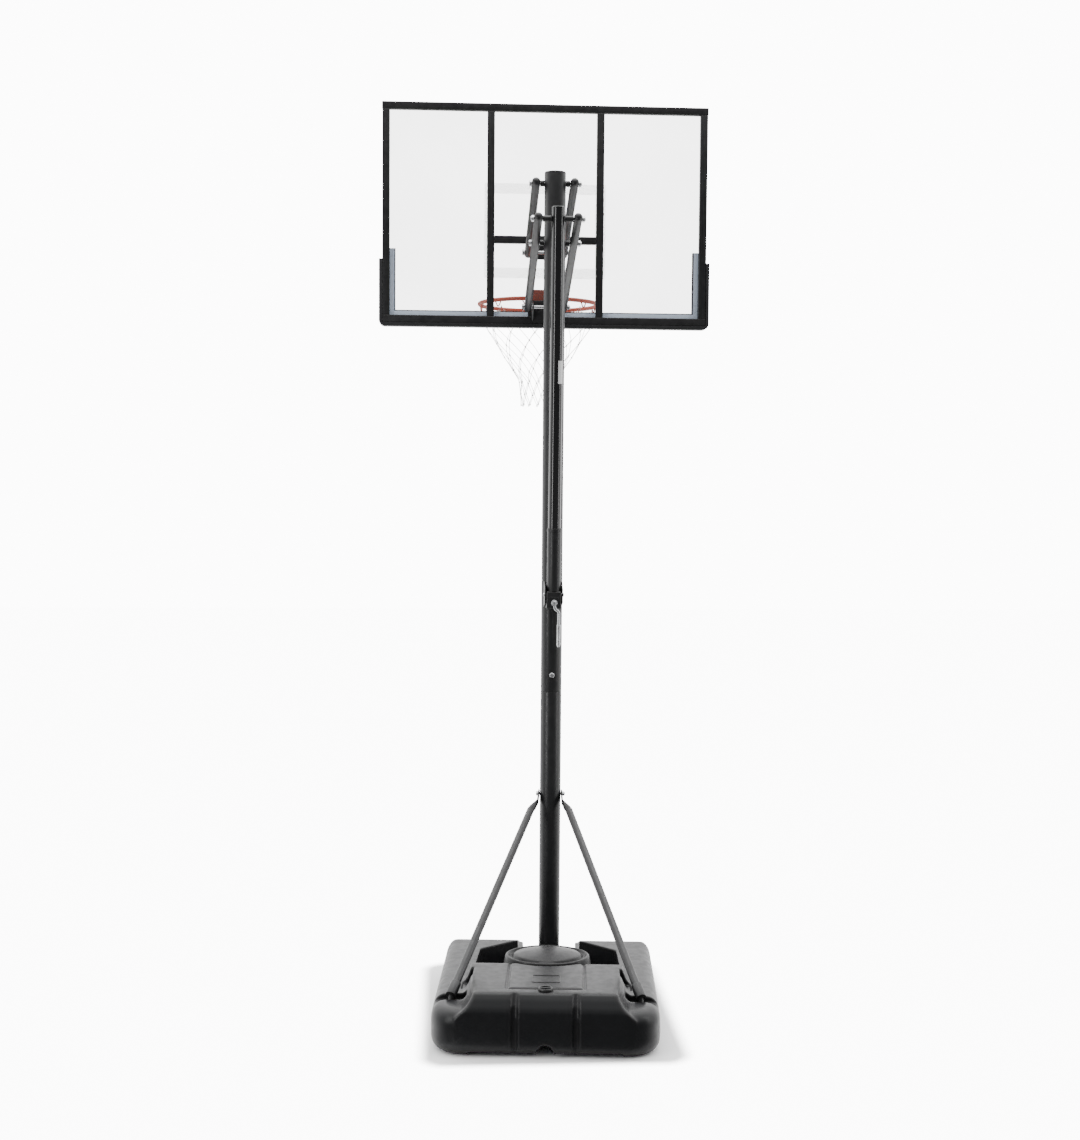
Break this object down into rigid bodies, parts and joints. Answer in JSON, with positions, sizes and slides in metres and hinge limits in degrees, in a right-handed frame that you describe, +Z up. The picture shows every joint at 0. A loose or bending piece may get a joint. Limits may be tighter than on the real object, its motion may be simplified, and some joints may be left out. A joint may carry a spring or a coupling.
{
  "type": "portable basketball hoop",
  "caption": "Portable basketball hoop: ballast tank on wheels, round pole with struts, crank jack, parallelogram arms, clear framed backboard, orange rim and net.",
  "frame": {"origin": "on the ground, under the middle of the bounding box", "axes": "+Z up, +Y from the ballast tank towards the court, +X to the right for someone standing behind the tank"},
  "size_m": [1.224, 1.9895, 3.072],
  "materials": {
    "black_paint": "satin black powder coat",
    "gloss_tube": "gloss black",
    "zinc": "bright zinc plate",
    "tank": "fine-grained blow-moulded polyethylene",
    "black_plastic": "moulded black",
    "wheel": "moulded black",
    "pad": "moulded black edge pad",
    "panel": "clear, slightly milky polycarbonate",
    "rim": "orange-red powder coat",
    "net": "white braided cord"
  },
  "bodies": {
    "root": {"base_shell": "tank", "axle": "zinc", "pole_lower": "black_paint", "pole_middle": "black_paint", "pole_upper": "black_paint", "pole_cap": "black_plastic", "pole_joint_bolt": "zinc", "strut_left": "black_paint", "strut_right": "black_paint", "strut_foot_left": "black_plastic", "strut_foot_right": "black_plastic", "strut_top_bolt": "zinc", "upper_pivot_bolt": "zinc", "lower_pivot_bolt": "zinc", "upper_spacer_left": "black_plastic", "upper_spacer_right": "black_plastic", "lower_spacer_left": "black_plastic", "lower_spacer_right": "black_plastic", "jack_bracket": "black_paint"},
    "fill_cap": {"fill_cap": "black_plastic"},
    "wheel_left": {"wheel_left": "wheel"},
    "wheel_right": {"wheel_right": "wheel"},
    "lower_arms": {"lower_arm_left": "black_paint", "lower_arm_right": "black_paint", "lower_arm_cap_left": "black_plastic", "lower_arm_cap_right": "black_plastic", "rear_pin_left": "zinc", "rear_pin_right": "zinc", "rear_spacer_left": "black_plastic", "rear_spacer_right": "black_plastic"},
    "upper_arms": {"upper_arm_left": "black_paint", "upper_arm_right": "black_paint", "upper_arm_cap_left": "black_plastic", "upper_arm_cap_right": "black_plastic"},
    "board": {"board_panel": "panel", "frame_top": "black_paint", "frame_bottom": "black_paint", "frame_left": "black_paint", "frame_right": "black_paint", "mullion_left": "black_paint", "mullion_right": "black_paint", "mid_rail": "black_paint", "edge_pad": "pad", "board_bracket_upper": "black_paint", "board_bracket_lower": "black_paint", "board_bolt_upper": "zinc", "board_bolt_lower": "zinc", "rim_ring": "rim", "rim_bracket": "rim", "rim_bolt_left": "zinc", "rim_bolt_right": "zinc", "net": "net"},
    "jack_lower": {"gear_housing": "black_paint", "jack_outer_tube": "black_paint"},
    "jack_upper": {"jack_upper_tube": "gloss_tube"},
    "lead_screw": {"lead_screw": "zinc"},
    "crank": {"crank_arm": "zinc"},
    "crank_grip": {"crank_grip": "zinc"}
  },
  "joints": [
    {"name": "height_adjust", "type": "hinge", "parent": "root", "child": "lower_arms", "pos_m": [0, -0.15517, 2.495], "axis": [1, 0, 0], "range_deg": [0, 75]},
    {"name": "upper_arm_swing", "type": "hinge", "parent": "root", "child": "upper_arms", "pos_m": [0, -0.15517, 2.693], "axis": [1, 0, 0], "range_deg": [0, 75]},
    {"name": "board_level", "type": "hinge", "parent": "lower_arms", "child": "board", "pos_m": [0, 0.30058, 2.32912], "axis": [1, 0, 0], "range_deg": [-75, 0]},
    {"name": "jack_tilt", "type": "hinge", "parent": "root", "child": "jack_lower", "pos_m": [0, -0.24017, 1.313], "axis": [1, 0, 0], "range_deg": [-3, 0]},
    {"name": "jack_slide", "type": "slide", "parent": "jack_lower", "child": "jack_upper", "axis": [0, -0.0565, 0.9984], "range_m": [-0.196, 0]},
    {"name": "crank_turn", "type": "hinge", "parent": "jack_lower", "child": "crank", "pos_m": [0, -0.27687, 1.28889], "axis": [0, -0.9984, -0.0565], "continuous": true},
    {"name": "screw_turn", "type": "hinge", "parent": "jack_lower", "child": "lead_screw", "pos_m": [0, -0.24017, 1.313], "axis": [0, -0.0565, 0.9984], "continuous": true},
    {"name": "crank_grip_spin", "type": "hinge", "parent": "crank", "child": "crank_grip", "pos_m": [0.016, -0.27077, 1.18106], "axis": [0, -0.0565, 0.9984], "continuous": true},
    {"name": "wheel_left_spin", "type": "hinge", "parent": "root", "child": "wheel_left", "pos_m": [-0.06479, -0.14996, 0.04], "axis": [0.9968, -0.0802, 0], "continuous": true},
    {"name": "wheel_right_spin", "type": "hinge", "parent": "root", "child": "wheel_right", "pos_m": [0.06479, -0.16038, 0.04], "axis": [0.9968, -0.0802, 0], "continuous": true},
    {"name": "fill_cap_turn", "type": "hinge", "parent": "root", "child": "fill_cap", "pos_m": [-0.06055, -0.90774, 0.185], "axis": [0, 0, 1], "continuous": true}
  ],
  "couplings": [
    {"joint": "upper_arm_swing", "follows": "height_adjust", "ratio": 1},
    {"joint": "board_level", "follows": "height_adjust", "ratio": -1},
    {"joint": "jack_tilt", "follows": "height_adjust", "ratio": -0.03613},
    {"joint": "jack_slide", "follows": "height_adjust", "m_per_rad": -0.14784},
    {"joint": "screw_turn", "follows": "crank_turn", "ratio": -1}
  ]
}
